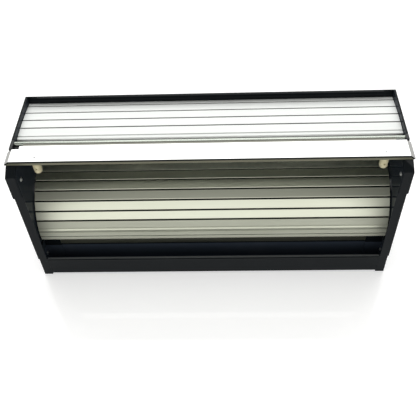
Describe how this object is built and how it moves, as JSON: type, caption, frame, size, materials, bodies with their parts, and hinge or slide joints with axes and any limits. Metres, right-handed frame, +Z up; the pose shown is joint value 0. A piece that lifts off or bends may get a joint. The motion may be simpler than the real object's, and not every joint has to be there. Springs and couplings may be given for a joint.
{
  "type": "grow lamp hood",
  "caption": "Grow lamp hood: black steel chassis, slatted aluminium deck and cylindrical reflector, hinged front flap, lamp between ceramic holders.",
  "frame": {"origin": "middle of the overall box, on the plane the foot rails stand on", "axes": "+X along the hood to its right end seen from the flap side, +Y to the rear wall, +Z up"},
  "size_m": [0.5644, 0.1754, 0.2448],
  "materials": {
    "black_steel": "gloss black enamel",
    "black_block": "moulded black",
    "deck_aluminium": "bright anodised, slatted",
    "reflector_aluminium": "semi-specular, slatted",
    "inner_aluminium": "specular",
    "flap_aluminium": "bright satin",
    "bronze_strip": "olive bronze satin",
    "lip_bronze": "olive bronze satin",
    "leaf_bronze": "olive bronze satin",
    "rod_aluminium": "drawn satin",
    "black_rubber": "matt black",
    "cream_rubber": "matt cream",
    "quartz": "clear",
    "arc_ceramic": "translucent polycrystalline",
    "white_ceramic": "unglazed steatite",
    "zinc_steel": "zinc plated",
    "black_plastic": "satin",
    "lead_silicone": "silicone insulation",
    "terminal_plastic": "moulded",
    "brass_screw": "machined",
    "nickel_wire": "drawn",
    "bright_fastener": "bright zinc"
  },
  "bodies": {
    "chassis": {"arc_tube": "arc_ceramic", "block_screws": "bright_fastener", "cable_gland": "black_plastic", "corner_bracket_left": "black_steel", "corner_bracket_right": "black_steel", "deck_screws": "bright_fastener", "end_plate_left": "black_steel", "end_plate_right": "black_steel", "end_reflector_left": "inner_aluminium", "end_reflector_right": "inner_aluminium", "foot_rail_left": "black_steel", "foot_rail_right": "black_steel", "front_channel": "black_steel", "front_reflector": "reflector_aluminium", "gland_locknut": "black_plastic", "gland_nut": "black_plastic", "header_rail": "black_steel", "hinge_block_left": "black_block", "hinge_block_right": "black_block", "holder_bracket_left": "zinc_steel", "holder_bracket_right": "zinc_steel", "lamp_caps": "white_ceramic", "lamp_envelope": "quartz", "lamp_wires": "nickel_wire", "lampholder_left": "white_ceramic", "lampholder_right": "white_ceramic", "lead_clips": "black_plastic", "lead_left": "lead_silicone", "lead_right": "lead_silicone", "rear_reflector": "inner_aluminium", "rear_screws": "bright_fastener", "rear_wall": "black_steel", "reflector_hangers": "zinc_steel", "ridge_rivets": "bright_fastener", "ridge_strip": "inner_aluminium", "shoulder_cap_left": "black_steel", "shoulder_cap_right": "black_steel", "side_rivets": "bright_fastener", "sill_screws": "bright_fastener", "sill_strip": "bronze_strip", "terminal_block": "terminal_plastic", "terminal_screws": "brass_screw", "top_deck": "deck_aluminium"},
    "flap": {"bumper_screws": "bright_fastener", "flap_bumper_left": "cream_rubber", "flap_bumper_right": "cream_rubber", "front_flap": "flap_aluminium", "hinge_leaf": "leaf_bronze", "hinge_rod": "rod_aluminium", "lip_edging": "black_rubber", "lip_strip": "lip_bronze"}
  },
  "joints": [
    {"name": "flap_hinge", "type": "hinge", "parent": "chassis", "child": "flap", "pos_m": [0, -0.03095, 0.2405], "axis": [-1, 0, 0], "range_deg": [0, 100]}
  ]
}
